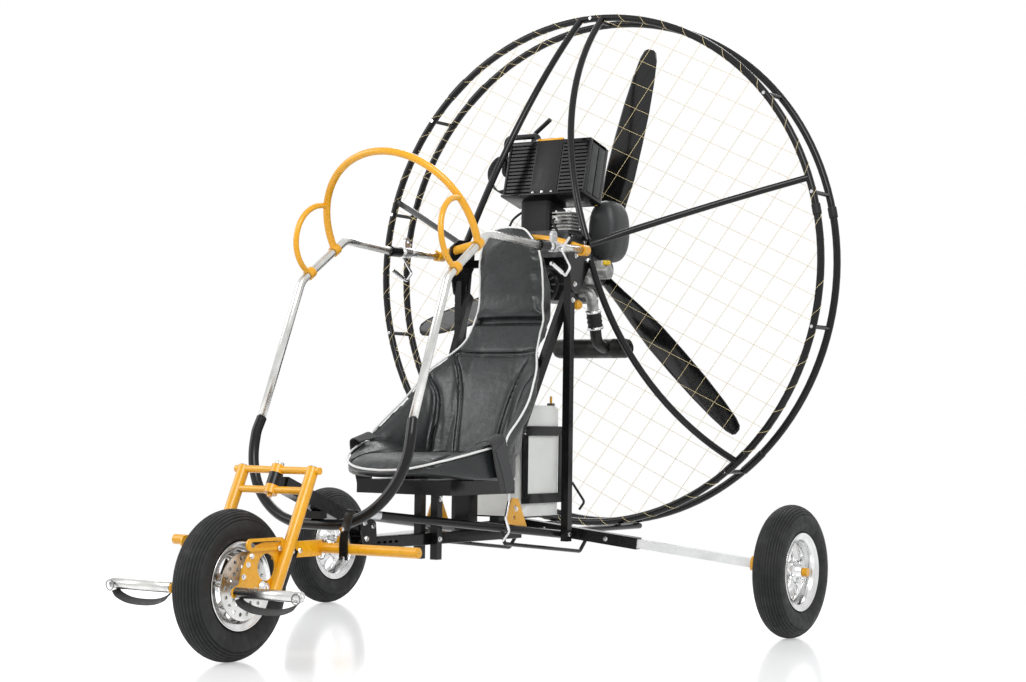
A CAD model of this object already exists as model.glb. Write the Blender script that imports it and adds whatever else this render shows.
"""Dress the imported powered-paraglider trike: finishes, tyres, rims, seat, net and engine.

Metres. +Z is up, the trike drives towards -Y and +X is its left side. Every piece lies in the
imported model's own frame and rides on one of its bodies.
"""
import logging
import math
from dataclasses import dataclass, field
from enum import Enum
from typing import Callable, Iterable, Sequence

import bmesh
import bpy
import numpy as np
from mathutils import Matrix, Vector

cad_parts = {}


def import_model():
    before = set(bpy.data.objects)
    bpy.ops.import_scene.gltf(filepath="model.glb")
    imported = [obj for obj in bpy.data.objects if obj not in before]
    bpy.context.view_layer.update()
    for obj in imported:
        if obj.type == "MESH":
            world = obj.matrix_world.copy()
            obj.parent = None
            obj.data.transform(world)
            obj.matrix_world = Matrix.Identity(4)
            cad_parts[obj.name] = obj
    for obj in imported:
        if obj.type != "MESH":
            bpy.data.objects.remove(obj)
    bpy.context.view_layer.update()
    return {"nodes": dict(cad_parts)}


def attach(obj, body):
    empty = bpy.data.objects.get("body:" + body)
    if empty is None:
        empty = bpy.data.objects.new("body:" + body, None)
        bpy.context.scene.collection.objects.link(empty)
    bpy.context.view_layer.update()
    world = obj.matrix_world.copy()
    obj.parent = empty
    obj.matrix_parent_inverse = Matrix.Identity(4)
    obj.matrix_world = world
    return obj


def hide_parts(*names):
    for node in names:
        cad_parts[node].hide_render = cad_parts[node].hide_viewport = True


log = logging.getLogger("trike")

REAR_Y = 0.6585
SIDES = (-1, 1)
X_AXIS, Y_AXIS, Z_AXIS = Vector((1, 0, 0)), Vector((0, 1, 0)), Vector((0, 0, 1))
Point = tuple[float, float, float]
Profile = Sequence[tuple[float, float]]
Socket = bpy.types.NodeSocket


class Body(Enum):
    """The rigid bodies that a piece can ride on."""

    FRAME = "trike_frame"
    FORK = "steering_fork"
    FRONT_WHEEL = "front_wheel"
    LEFT_WHEEL = "left_wheel"
    RIGHT_WHEEL = "right_wheel"
    PROPELLER = "propeller_body"


def station(x: float, y: float, z: float) -> Vector:
    """Turn a point measured from the rear axle's ground line into the trike's frame."""
    return Vector((x, y + REAR_Y, z))


def ray(degrees: float) -> Vector:
    """Point outwards at an angle in the plane of the cage and the propeller."""
    angle = math.radians(degrees)
    return Vector((math.cos(angle), 0.0, math.sin(angle)))


WHEELS: dict[str, tuple[Body, Vector]] = {
    "front": (Body.FRONT_WHEEL, station(0.0, -1.523, 0.2)),
    "left": (Body.LEFT_WHEEL, station(0.885, 0.0, 0.2)),
    "right": (Body.RIGHT_WHEEL, station(-0.885, 0.0, 0.2)),
}


def shaded(colour: Point, share: float) -> Point:
    """Give a colour at a share of its brightness, 1 at most."""
    return tuple(min(share * channel, 1.0) for channel in colour)


def any_ray(tree: bpy.types.NodeTree, *kinds: str) -> Socket:
    """Give 1 for the named kinds of ray and 0 for all others."""
    rays = tree.nodes.new("ShaderNodeLightPath")
    seen = rays.outputs[kinds[0]]
    for kind in kinds[1:]:
        either = tree.nodes.new("ShaderNodeMath")
        either.operation = "MAXIMUM"
        tree.links.new(seen, either.inputs[0])
        tree.links.new(rays.outputs[kind], either.inputs[1])
        seen = either.outputs[0]
    return seen


def mix_shaders(tree: bpy.types.NodeTree, share: Socket, first: Socket, second: Socket) -> Socket:
    """Mix two shaders by a share."""
    mix = tree.nodes.new("ShaderNodeMixShader")
    for source, target in ((share, mix.inputs["Fac"]), (first, mix.inputs[1]), (second, mix.inputs[2])):
        tree.links.new(source, target)
    return mix.outputs["Shader"]


class NodeBoard:
    """A material's node tree with short calls for adding and joining nodes."""

    def __init__(self, name: str) -> None:
        """Start a material with one Principled shader on its output."""
        self.material = bpy.data.materials.new(name)
        self.material.use_nodes = True
        self.tree = self.material.node_tree
        self.tree.nodes.clear()
        self.output = self.add("OutputMaterial")
        self.shader = self.add("BsdfPrincipled")
        self.join(self.shader.outputs["BSDF"], self.output.inputs["Surface"])

    def join(self, start: Socket, end: Socket) -> None:
        """Link two sockets."""
        self.tree.links.new(start, end)

    def add(self, kind: str, **values: float) -> bpy.types.Node:
        """Add a node.

        Args:
            kind: the node's type, without its ShaderNode prefix.
            values: numbers for its inputs, with underscores for the spaces in their names.

        Returns:
            The new node.
        """
        node = self.tree.nodes.new("ShaderNode" + kind)
        for name, value in values.items():
            node.inputs[name.replace("_", " ")].default_value = value
        return node

    def place(self) -> Socket:
        """Give Object coordinates."""
        return self.add("TexCoord").outputs["Object"]

    def noise(self, scale: float, detail: float = 3.0) -> Socket:
        """Give a noise pattern's value on Object coordinates."""
        node = self.add("TexNoise", Scale=scale, Detail=detail)
        self.join(self.place(), node.inputs["Vector"])
        return node.outputs["Fac"]

    def ramp(self, source: Socket, low: Point, high: Point, start: float = 0.3, end: float = 0.7) -> Socket:
        """Spread a value between two colours.

        Args:
            source: the value from 0 to 1.
            low: the colour at and below start.
            high: the colour at and above end.
            start: where the spread begins.
            end: where it ends.

        Returns:
            The colour socket.
        """
        node = self.add("ValToRGB")
        for stop, colour, position in zip(node.color_ramp.elements, (low, high), (start, end)):
            stop.position = position
            stop.color = (*colour, 1.0)
        self.join(source, node.inputs["Fac"])
        return node.outputs["Color"]

    def spread(self, source: Socket, low: float, high: float) -> Socket:
        """Map a value from 0.3 to 0.7 onto a range."""
        node = self.add("MapRange", From_Min=0.3, From_Max=0.7, To_Min=low, To_Max=high)
        self.join(source, node.inputs["Value"])
        return node.outputs["Result"]

    def bump(self, source: Socket, depth: float, under: Socket | None = None) -> Socket:
        """Turn a value into relief of a depth in metres, over an earlier relief."""
        node = self.add("Bump", Strength=1.0, Distance=depth)
        self.join(source, node.inputs["Height"])
        if under is not None:
            self.join(under, node.inputs["Normal"])
        return node.outputs["Normal"]

    def dress(self, **inputs: object) -> bpy.types.Material:
        """Set the shader's inputs and give the finished material.

        Args:
            inputs: a value or a socket for each input, with underscores for the spaces in its name.

        Returns:
            The material.
        """
        for name, value in inputs.items():
            target = self.shader.inputs[name.replace("_", " ")]
            if isinstance(value, Socket):
                self.join(value, target)
            else:
                target.default_value = value
        return self.material


@dataclass(frozen=True)
class PowderCoat:
    """Sprayed and baked paint on a steel tube, with a fine orange peel."""

    name: str
    colour: Point
    roughness: float = 0.3
    coat: float = 0.4
    gloss: float = 0.5
    peel: float = 0.00003

    def build(self) -> bpy.types.Material:
        """Make the material."""
        board = NodeBoard(self.name)
        return board.dress(
            Base_Color=board.ramp(board.noise(14.0, 2.0), shaded(self.colour, 0.86), self.colour),
            Roughness=board.spread(board.noise(60.0, 4.0), self.roughness * 0.8, self.roughness * 1.35),
            Normal=board.bump(board.noise(700.0, 2.0), self.peel),
            Specular_IOR_Level=self.gloss, Coat_Weight=self.coat, Coat_Roughness=0.1)


@dataclass(frozen=True)
class BareMetal:
    """Bare metal with a little handling haze."""

    name: str
    colour: Point
    roughness: float = 0.2

    def build(self) -> bpy.types.Material:
        """Make the material."""
        board = NodeBoard(self.name)
        return board.dress(
            Metallic=1.0,
            Base_Color=board.ramp(board.noise(25.0), shaded(self.colour, 0.8), self.colour),
            Roughness=board.spread(board.noise(30.0), self.roughness * 0.85, self.roughness * 1.3))


@dataclass(frozen=True)
class TyreRubber:
    """Matt black rubber, a little greyer where dust sits."""

    name: str
    colour: Point = (0.010, 0.0105, 0.011)
    dust: float = 0.010

    def build(self) -> bpy.types.Material:
        """Make the material."""
        board = NodeBoard(self.name)
        dusty = tuple(channel + self.dust for channel in self.colour)
        return board.dress(
            Base_Color=board.ramp(board.noise(18.0, 6.0), self.colour, dusty, 0.45, 0.75),
            Roughness=board.spread(board.noise(45.0, 4.0), 0.5, 0.72),
            Normal=board.bump(board.noise(900.0), 0.00012),
            Specular_IOR_Level=0.35)


@dataclass(frozen=True)
class BlackLeather:
    """Grained upholstery leather with soft creases."""

    name: str
    colour: Point = (0.0115, 0.0137, 0.0142)
    crease_depth: float = 0.0035
    grain_depth: float = 0.0002

    def build(self) -> bpy.types.Material:
        """Make the material."""
        board = NodeBoard(self.name)
        grain = board.add("TexVoronoi", Scale=620.0)
        grain.feature = "DISTANCE_TO_EDGE"
        board.join(board.place(), grain.inputs["Vector"])
        creased = board.bump(board.noise(16.0), self.crease_depth)
        return board.dress(
            Base_Color=board.ramp(board.noise(12.0, 4.0), self.colour, shaded(self.colour, 1.7), 0.35, 0.8),
            Roughness=board.spread(board.noise(70.0, 4.0), 0.26, 0.4),
            Normal=board.bump(grain.outputs["Distance"], self.grain_depth, creased),
            Sheen_Weight=0.04, Specular_IOR_Level=0.5)


@dataclass(frozen=True)
class MouldedPlastic:
    """Moulded plastic with a fine spark-eroded grain."""

    name: str
    colour: Point
    roughness: float = 0.45
    grain: float = 0.00008
    see_through: float = 0.0
    gloss: float = 0.5

    def build(self) -> bpy.types.Material:
        """Make the material."""
        board = NodeBoard(self.name)
        return board.dress(
            Base_Color=board.ramp(board.noise(9.0), shaded(self.colour, 0.9), self.colour),
            Roughness=board.spread(board.noise(55.0), self.roughness * 0.85, self.roughness * 1.2),
            Normal=board.bump(board.noise(1100.0, 2.0), self.grain),
            Specular_IOR_Level=self.gloss, Subsurface_Weight=self.see_through,
            Subsurface_Radius=(0.02, 0.02, 0.02))


@dataclass(frozen=True)
class CastAlloy:
    """Sand-cast alloy: grey, pitted and faintly oily."""

    name: str
    colour: Point
    roughness: float = 0.5
    pits: float = 0.0005

    def build(self) -> bpy.types.Material:
        """Make the material."""
        board = NodeBoard(self.name)
        return board.dress(
            Metallic=0.85,
            Base_Color=board.ramp(board.noise(30.0, 6.0), shaded(self.colour, 0.45), self.colour, 0.3, 0.6),
            Roughness=board.spread(board.noise(80.0, 4.0), self.roughness * 0.7, self.roughness * 1.3),
            Normal=board.bump(board.noise(420.0, 5.0), self.pits))


@dataclass(frozen=True)
class WovenBand:
    """Woven webbing or cord, ribbed across."""

    name: str
    colour: Point
    ribs: float = 260.0
    rib_depth: float = 0.0003

    def build(self) -> bpy.types.Material:
        """Make the material."""
        board = NodeBoard(self.name)
        wave = board.add("TexWave", Scale=self.ribs, Distortion=0.4)
        board.join(board.place(), wave.inputs["Vector"])
        weave = wave.outputs["Fac"]
        return board.dress(
            Base_Color=board.ramp(weave, self.colour, shaded(self.colour, 1.9), 0.2, 0.9),
            Normal=board.bump(weave, self.rib_depth), Roughness=0.8, Sheen_Weight=0.2)


RECIPES = (
    PowderCoat("orange_powder", (0.86, 0.405, 0.006), 0.28, 0.4, 0.4),
    PowderCoat("black_powder", (0.007, 0.007, 0.0075), 0.2, 0.06, 0.25),
    PowderCoat("white_gelcoat", (0.86, 0.87, 0.86), 0.3, 0.4),
    BareMetal("stainless_tube", (0.7, 0.7, 0.68), 0.24),
    BareMetal("polished_rim_alloy", (0.78, 0.78, 0.78), 0.16),
    BareMetal("anodised_alloy", (0.6, 0.6, 0.61), 0.32),
    BareMetal("bright_chrome", (0.82, 0.82, 0.83), 0.08),
    BareMetal("dark_steel", (0.16, 0.16, 0.165), 0.35),
    TyreRubber("tyre_rubber"),
    BlackLeather("seat_leather"),
    MouldedPlastic("white_piping", (0.84, 0.84, 0.82), 0.4),
    MouldedPlastic("tank_polythene", (0.93, 0.94, 0.9), 0.38, 0.00012, 0.25),
    MouldedPlastic("black_moulding", (0.01, 0.01, 0.0105), 0.4, gloss=0.3),
    MouldedPlastic("grey_moulding", (0.035, 0.037, 0.038), 0.42, gloss=0.4),
    MouldedPlastic("rubber_hose", (0.012, 0.012, 0.0125), 0.5, 0.0001, gloss=0.3),
    MouldedPlastic("blade_black", (0.006, 0.006, 0.0065), 0.14, 0.0, gloss=0.45),
    MouldedPlastic("yellow_cap", (0.82, 0.55, 0.02), 0.35),
    CastAlloy("engine_casting", (0.1, 0.1, 0.105)),
    CastAlloy("pale_casting", (0.45, 0.45, 0.44)),
    CastAlloy("exhaust_black", (0.04, 0.039, 0.038), 0.4),
    WovenBand("black_webbing", (0.012, 0.012, 0.013)),
    WovenBand("cream_cord", (0.95, 0.62, 0.3), 900.0),
)

PLAIN_FINISHES: dict[str, tuple[str, ...]] = {
    "stainless_tube": ("brake_disc", "front_tubes", "side_arms", "foot_pegs"),
    "anodised_alloy": ("front_axle", "side_tube_caps", "hang_eyes"),
    "pale_casting": ("cylinder_head", "carburettor"),
    "orange_powder": ("fork", "knuckles", "cross_tube", "foot_bar", "line_guard", "gusset_plates"),
    "white_gelcoat": ("axle_legs",),
    "tank_polythene": ("fuel_tank",),
    "engine_casting": ("engine_block",),
    "exhaust_black": ("exhaust",),
    "blade_black": ("propeller",),
    "black_moulding": ("airbox", "intake_silencer"),
    "rubber_hose": ("coolant_hoses",),
    "tyre_rubber": ("front_tyre", "left_tyre", "right_tyre"),
    "polished_rim_alloy": ("front_rim", "left_rim", "right_rim"),
    "seat_leather": ("seat_pan", "seat_back"),
    "bright_chrome": ("hand_lever", "hang_levers"),
    "black_webbing": ("lap_belts", "peg_straps"),
}


def dress_frame(frame: dict, paints: dict[str, bpy.types.Material]) -> None:
    """Give each CAD node its finish; steel that isn't listed is black.

    Args:
        paints: the finishes by name.
    """
    finishes = {node: finish for finish, nodes in PLAIN_FINISHES.items() for node in nodes}
    for name, node in frame["nodes"].items():
        node.data.materials.clear()
        node.data.materials.append(paints[finishes.get(name, "black_powder")])


def new_object(name: str, mesh: bpy.types.Mesh) -> bpy.types.Object:
    """Put a mesh into the scene as an object at the origin."""
    piece = bpy.data.objects.new(name, mesh)
    bpy.context.scene.collection.objects.link(piece)
    return piece


def shade_smooth(piece: bpy.types.Object, smooth: bool = True) -> None:
    """Shade all faces of a piece smooth or flat."""
    for polygon in piece.data.polygons:
        polygon.use_smooth = smooth


def mesh_object(name: str, points: Sequence[Sequence[float]], faces: Sequence[Sequence[int]],
                finish: bpy.types.Material, smooth: bool = True) -> bpy.types.Object:
    """Make a mesh object at the origin.

    Args:
        name: the piece's name.
        points: its vertices, in the trike's frame.
        faces: its faces as vertex numbers.
        finish: its material.
        smooth: whether it is shaded smooth.

    Returns:
        The linked object.
    """
    mesh = bpy.data.meshes.new(name)
    mesh.from_pydata([tuple(p) for p in points], [], [tuple(f) for f in faces])
    mesh.materials.append(finish)
    mesh.update()
    piece = new_object(name, mesh)
    shade_smooth(piece, smooth)
    return piece


def tidy_mesh(piece: bpy.types.Object) -> None:
    """Merge a mesh's doubles and turn its faces outwards."""
    work = bmesh.new()
    work.from_mesh(piece.data)
    bmesh.ops.remove_doubles(work, verts=work.verts, dist=1e-5)
    bmesh.ops.recalc_face_normals(work, faces=work.faces)
    work.to_mesh(piece.data)
    work.free()


def lathe(name: str, profile: Profile, centre: Vector, axis: Vector, finish: bpy.types.Material,
          turns: int = 96) -> bpy.types.Object:
    """Turn a closed profile round an axis.

    Args:
        name: the piece's name.
        profile: (along, radius) points round the section.
        centre: the point on the axis where along is 0.
        axis: the axis, which along is measured on.
        finish: the material.
        turns: how many steps go round.

    Returns:
        The turned piece.
    """
    axis = axis.normalized()
    side = axis.orthogonal().normalized()
    other = axis.cross(side)
    points, faces = [], []
    count = len(profile)
    for step in range(turns):
        angle = 2 * math.pi * step / turns
        spoke = side * math.cos(angle) + other * math.sin(angle)
        points += [centre + axis * along + spoke * radius for along, radius in profile]
        after = (step + 1) % turns
        for i in range(count):
            j = (i + 1) % count
            faces.append((step * count + i, step * count + j, after * count + j, after * count + i))
    piece = mesh_object(name, points, faces, finish)
    tidy_mesh(piece)
    return piece


def discard(piece: bpy.types.Object) -> None:
    """Remove an object and its mesh."""
    old = piece.data
    bpy.data.objects.remove(piece)
    bpy.data.meshes.remove(old)


def join_pieces(name: str, pieces: Sequence[bpy.types.Object]) -> bpy.types.Object:
    """Join pieces, each with its own material, into one object.

    Args:
        name: the joined object's name.
        pieces: the objects to join.

    Returns:
        The joined object.
    """
    materials: list[bpy.types.Material] = []
    work = bmesh.new()
    for piece in pieces:
        slots = []
        for finish in piece.data.materials:
            if finish not in materials:
                materials.append(finish)
            slots.append(materials.index(finish))
        before = len(work.faces)
        work.from_mesh(piece.data)
        work.faces.ensure_lookup_table()
        for face in work.faces[before:]:
            face.material_index = slots[min(face.material_index, len(slots) - 1)]
        discard(piece)
    mesh = bpy.data.meshes.new(name)
    work.to_mesh(mesh)
    work.free()
    for finish in materials:
        mesh.materials.append(finish)
    return new_object(name, mesh)


@dataclass
class Studio:
    """Camera, lamps, floor and backdrop."""

    focal_pixels: float = 2007.57
    image_width: float = 1026.0
    sensor_width: float = 36.0
    camera_place: Point = (3.493, -4.8755, 0.637)
    azimuth: float = 0.579
    elevation: float = -0.0403
    roll: float = 0.0143
    fill_strength: float = 0.55
    floor_half: float = 30.0
    floor_glow: float = 0.36
    floor_fade: tuple[float, float] = (1.6, 2.6)
    box_size: float = 3.0

    def camera(self) -> None:
        """Place the camera where the photograph was taken from."""
        data = bpy.data.cameras.new("photo_camera")
        data.sensor_width = self.sensor_width
        data.sensor_fit = "HORIZONTAL"
        data.lens = self.focal_pixels / self.image_width * self.sensor_width
        data.clip_end = 100.0
        back = Vector((math.sin(self.azimuth) * math.cos(self.elevation),
                       -math.cos(self.azimuth) * math.cos(self.elevation), math.sin(self.elevation)))
        right = Vector((math.cos(self.azimuth), math.sin(self.azimuth), 0.0))
        up = back.cross(right)
        rolled_right = right * math.cos(self.roll) + up * math.sin(self.roll)
        rolled_up = up * math.cos(self.roll) - right * math.sin(self.roll)
        turn = Matrix((rolled_right, rolled_up, back)).transposed().to_4x4()
        camera = bpy.data.objects.new("photo_camera", data)
        camera.matrix_world = Matrix.Translation(self.camera_place) @ turn
        bpy.context.scene.collection.objects.link(camera)
        bpy.context.scene.camera = camera

    def lamp(self, name: str, place: Point, aim: Point, power: float) -> None:
        """Hang one square soft box.

        Args:
            name: the lamp's name.
            place: where it hangs.
            aim: the point that it faces.
            power: its power in watts.
        """
        data = bpy.data.lights.new(name, "AREA")
        data.shape = "SQUARE"
        data.size = self.box_size
        data.energy = power
        lamp = bpy.data.objects.new(name, data)
        lamp.location = place
        lamp.rotation_euler = (Vector(aim) - Vector(place)).to_track_quat("-Z", "Y").to_euler()
        bpy.context.scene.collection.objects.link(lamp)

    def world(self) -> None:
        """Give a soft fill that the camera and mirror rays see as white."""
        world = bpy.data.worlds.new("studio_white")
        world.use_nodes = True
        tree = world.node_tree
        tree.nodes.clear()
        output = tree.nodes.new("ShaderNodeOutputWorld")
        lights = []
        for colour, strength in (((0.95, 0.97, 1.0, 1.0), self.fill_strength), ((1.0, 1.0, 1.0, 1.0), 1.0)):
            light = tree.nodes.new("ShaderNodeBackground")
            light.inputs["Color"].default_value = colour
            light.inputs["Strength"].default_value = strength
            lights.append(light.outputs["Background"])
        seen = any_ray(tree, "Is Camera Ray", "Is Glossy Ray", "Is Transmission Ray")
        tree.links.new(mix_shaders(tree, seen, *lights), output.inputs["Surface"])
        bpy.context.scene.world = world

    def floor(self) -> None:
        """Lay a white floor that keeps the shadow and a soft reflection, and ends in plain white."""
        board = NodeBoard("studio_floor")
        board.dress(Base_Color=(0.92, 0.92, 0.92, 1.0), Roughness=0.12, Specular_IOR_Level=0.6)
        plain = board.shader.outputs["BSDF"]
        white, glow = (board.add("Emission", Strength=power).outputs["Emission"]
                       for power in (1.0, self.floor_glow))
        lit = board.add("AddShader")
        board.join(plain, lit.inputs[0])
        board.join(glow, lit.inputs[1])
        reach = board.add("VectorMath")
        reach.operation = "LENGTH"
        board.join(board.place(), reach.inputs[0])
        fade = board.add("MapRange", From_Min=self.floor_fade[0], From_Max=self.floor_fade[1])
        board.join(reach.outputs["Value"], fade.inputs["Value"])
        shown = mix_shaders(board.tree, fade.outputs["Result"], lit.outputs["Shader"], white)
        seen = any_ray(board.tree, "Is Camera Ray", "Is Glossy Ray")
        board.join(mix_shaders(board.tree, seen, plain, shown), board.output.inputs["Surface"])
        half = self.floor_half
        corners = [(-half, -half, 0.0), (half, -half, 0.0), (half, half, 0.0), (-half, half, 0.0)]
        mesh_object("studio_floor", corners, [(0, 1, 2, 3)], board.material, smooth=False)

    def build(self) -> None:
        """Set up the whole studio."""
        bpy.context.scene.view_settings.view_transform = "Standard"
        self.camera()
        self.world()
        self.lamp("key_box", (3.2, -3.4, 4.6), (0.0, 0.0, 0.8), 210.0)
        self.lamp("fill_box", (-4.0, -3.0, 3.2), (0.0, 0.0, 0.8), 90.0)
        self.lamp("back_box", (-1.5, 4.2, 4.0), (0.0, 0.2, 1.0), 110.0)
        self.floor()


def smooth_line(points: Sequence[Vector], steps: int = 6) -> list[Vector]:
    """Run a smooth line through points.

    Args:
        points: what the line passes through, in order.
        steps: how many pieces each stretch gets.

    Returns:
        The line's points.
    """
    ends = [points[0] * 2 - points[1], *points, points[-1] * 2 - points[-2]]
    line = []
    for before, start, end, after in zip(ends, ends[1:], ends[2:], ends[3:]):
        for step in range(steps):
            t = step / steps
            line.append(0.5 * (2 * start + (end - before) * t
                               + (2 * before - 5 * start + 4 * end - after) * t * t
                               + (3 * start - before - 3 * end + after) * t ** 3))
    line.append(points[-1].copy())
    return line


def stations(spots: Iterable[Point]) -> list[Vector]:
    """Turn a row of station points into the trike's frame."""
    return [station(*spot) for spot in spots]


def frames_along(path: Sequence[Vector]) -> list[tuple[Vector, Vector]]:
    """Carry two side directions along a path without twisting them."""
    directions = [(b - a).normalized() for a, b in zip(path, path[1:])]
    directions.append(directions[-1])
    side = directions[0].orthogonal().normalized()
    frames = []
    for direction in directions:
        side = (side - direction * side.dot(direction)).normalized()
        frames.append((side, direction.cross(side)))
    return frames


def loft(name: str, rings: Sequence[Sequence[Vector]], finish: bpy.types.Material,
         smooth: bool = True) -> bpy.types.Object:
    """Skin a row of equal rings and close both ends.

    Args:
        name: the piece's name.
        rings: closed rings of points, each as long as the first.
        finish: the material.
        smooth: whether it is shaded smooth.

    Returns:
        The closed piece.
    """
    count = len(rings[0])
    points = [point for ring in rings for point in ring]
    faces = [tuple(reversed(range(count))), tuple(len(points) - count + i for i in range(count))]
    for row in range(len(rings) - 1):
        for i in range(count):
            j = (i + 1) % count
            faces.append((row * count + i, row * count + j, (row + 1) * count + j, (row + 1) * count + i))
    piece = mesh_object(name, points, faces, finish, smooth)
    tidy_mesh(piece)
    return piece


def tube(name: str, path: Sequence[Vector], radius: float | Sequence[float], finish: bpy.types.Material,
         sides: int = 14) -> bpy.types.Object:
    """Run a round tube along a path, with a radius for all of it or one for each point."""
    radii = [radius] * len(path) if isinstance(radius, float) else list(radius)
    rings = []
    for point, size, (side, other) in zip(path, radii, frames_along(path)):
        rings.append([point + (side * math.cos(a) + other * math.sin(a)) * size
                      for a in (2 * math.pi * i / sides for i in range(sides))])
    return loft(name, rings, finish)


def bent_line(points: Sequence[Vector], radius: float, steps: int = 10) -> list[Vector]:
    """Round a bent tube's corners as its bender does.

    Args:
        points: the line's ends and corners.
        radius: the bend's radius in metres.
        steps: how many pieces each bend gets.

    Returns:
        The rounded line.
    """
    line = [points[0].copy()]
    for before, corner, after in zip(points, points[1:], points[2:]):
        inward, outward = (before - corner).normalized(), (after - corner).normalized()
        turn = math.pi - inward.angle(outward)
        reach = radius * math.tan(turn / 2)
        centre = corner + (inward + outward).normalized() * (radius / math.cos(turn / 2))
        start, end = corner + inward * reach - centre, corner + outward * reach - centre
        for step in range(steps + 1):
            line.append(centre + start.slerp(end, step / steps) * radius)
    line.append(points[-1].copy())
    return line


def band(name: str, path: Sequence[Vector], across: Vector, width: float, thickness: float,
         finish: bpy.types.Material) -> bpy.types.Object:
    """Lay a flat band with bevelled edges along a path.

    Args:
        name: the piece's name.
        path: the band's middle line.
        across: the direction of its width.
        width: its width in metres.
        thickness: its thickness in metres.
        finish: the material.

    Returns:
        The band.
    """
    section = ((1, 0.8), (0.97, 1), (-0.97, 1), (-1, 0.8), (-1, -0.8), (-0.97, -1), (0.97, -1), (1, -0.8))
    rings = []
    for i, point in enumerate(path):
        direction = (path[min(i + 1, len(path) - 1)] - path[max(i - 1, 0)]).normalized()
        wide = (across - direction * across.dot(direction)).normalized() * (width / 2)
        thick = direction.cross(wide).normalized() * (thickness / 2)
        rings.append([point + wide * w + thick * t for w, t in section])
    return loft(name, rings, finish, smooth=False)


def rounded_block(name: str, low: Vector, high: Vector, radius: float, finish: bpy.types.Material,
                  segments: int = 4) -> bpy.types.Object:
    """Make an upright block with every edge rounded.

    Args:
        name: the piece's name.
        low: its lowest corner.
        high: its highest corner.
        radius: how round its edges are.
        finish: the material.
        segments: how many steps round an edge.

    Returns:
        The block.
    """
    work = bmesh.new()
    bmesh.ops.create_cube(work, size=1.0)
    middle, extent = (low + high) / 2, high - low
    for vertex in work.verts:
        vertex.co = middle + Vector(c * e for c, e in zip(vertex.co, extent))
    bmesh.ops.bevel(work, geom=work.edges[:], offset=radius, segments=segments, profile=0.5, affect="EDGES")
    mesh = bpy.data.meshes.new(name)
    work.to_mesh(mesh)
    work.free()
    mesh.materials.append(finish)
    piece = new_object(name, mesh)
    shade_smooth(piece)
    return piece


class PatternTree:
    """A Geometry Nodes tree with named inputs, ended by Realize Instances and Set Material."""

    def __init__(self, name: str, **inputs: str) -> None:
        """Start a tree.

        Args:
            name: the tree's name.
            inputs: each input's name, with underscores for spaces, and its socket type.
        """
        self.tree = bpy.data.node_groups.new(name, "GeometryNodeTree")
        self.tree.interface.new_socket("Geometry", in_out="INPUT", socket_type="NodeSocketGeometry")
        self.tree.interface.new_socket("Geometry", in_out="OUTPUT", socket_type="NodeSocketGeometry")
        for label, kind in {**inputs, "Finish": "NodeSocketMaterial"}.items():
            self.tree.interface.new_socket(label.replace("_", " "), in_out="INPUT", socket_type=kind)
        self.entry = self.tree.nodes.new("NodeGroupInput")

    def add(self, kind: str, **values: object) -> bpy.types.Node:
        """Add a node and set its inputs by name."""
        node = self.tree.nodes.new(kind)
        for label, value in values.items():
            node.inputs[label.replace("_", " ")].default_value = value
        return node

    def join(self, start: Socket, end: Socket) -> None:
        """Link two sockets."""
        self.tree.links.new(start, end)

    def close(self, geometry: Socket) -> None:
        """Realize the instances, set the finish and end the tree."""
        realize = self.add("GeometryNodeRealizeInstances")
        coat = self.add("GeometryNodeSetMaterial")
        leave = self.add("NodeGroupOutput")
        self.join(geometry, realize.inputs["Geometry"])
        self.join(realize.outputs["Geometry"], coat.inputs["Geometry"])
        self.join(self.entry.outputs["Finish"], coat.inputs["Material"])
        self.join(coat.outputs["Geometry"], leave.inputs["Geometry"])

    def grow(self, name: str, seed: bpy.types.Object, **settings: object) -> bpy.types.Object:
        """Run the tree on a seed object and keep the result as a plain mesh.

        Args:
            name: the new piece's name.
            seed: the object whose mesh the tree works on; it is used up.
            settings: values for the tree's inputs, by name.

        Returns:
            The finished piece.
        """
        modifier = seed.modifiers.new("pattern", "NODES")
        modifier.node_group = self.tree
        for item in self.tree.interface.items_tree:
            label = item.name.replace(" ", "_")
            if item.in_out == "INPUT" and label in settings:
                modifier[item.identifier] = settings[label]
        depsgraph = bpy.context.evaluated_depsgraph_get()
        mesh = bpy.data.meshes.new_from_object(seed.evaluated_get(depsgraph))
        discard(seed)
        mesh.name = name
        return new_object(name, mesh)


def round_tree() -> PatternTree:
    """Build the tree that repeats its own geometry round a wheel's axle (the X axis)."""
    tree = PatternTree("round_the_axle", Count="NodeSocketInt", Centre="NodeSocketVector")
    line = tree.add("GeometryNodeMeshLine", Offset=(0.0, 0.0, 0.0))
    tree.join(tree.entry.outputs["Count"], line.inputs["Count"])
    step = tree.add("ShaderNodeMath")
    step.operation = "DIVIDE"
    step.inputs[0].default_value = 2 * math.pi
    tree.join(tree.entry.outputs["Count"], step.inputs[1])
    angle = tree.add("ShaderNodeMath")
    angle.operation = "MULTIPLY"
    number = tree.add("GeometryNodeInputIndex")
    tree.join(number.outputs["Index"], angle.inputs[0])
    tree.join(step.outputs[0], angle.inputs[1])
    turn = tree.add("ShaderNodeCombineXYZ")
    tree.join(angle.outputs[0], turn.inputs["X"])
    copies = tree.add("GeometryNodeInstanceOnPoints")
    tree.join(line.outputs["Mesh"], copies.inputs["Points"])
    tree.join(tree.entry.outputs["Geometry"], copies.inputs["Instance"])
    tree.join(turn.outputs["Vector"], copies.inputs["Rotation"])
    shift = tree.add("GeometryNodeSetPosition")
    solid = tree.add("GeometryNodeRealizeInstances")
    tree.join(copies.outputs["Instances"], solid.inputs["Geometry"])
    tree.join(solid.outputs["Geometry"], shift.inputs["Geometry"])
    tree.join(tree.entry.outputs["Centre"], shift.inputs["Offset"])
    tree.close(shift.outputs["Geometry"])
    return tree


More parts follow.
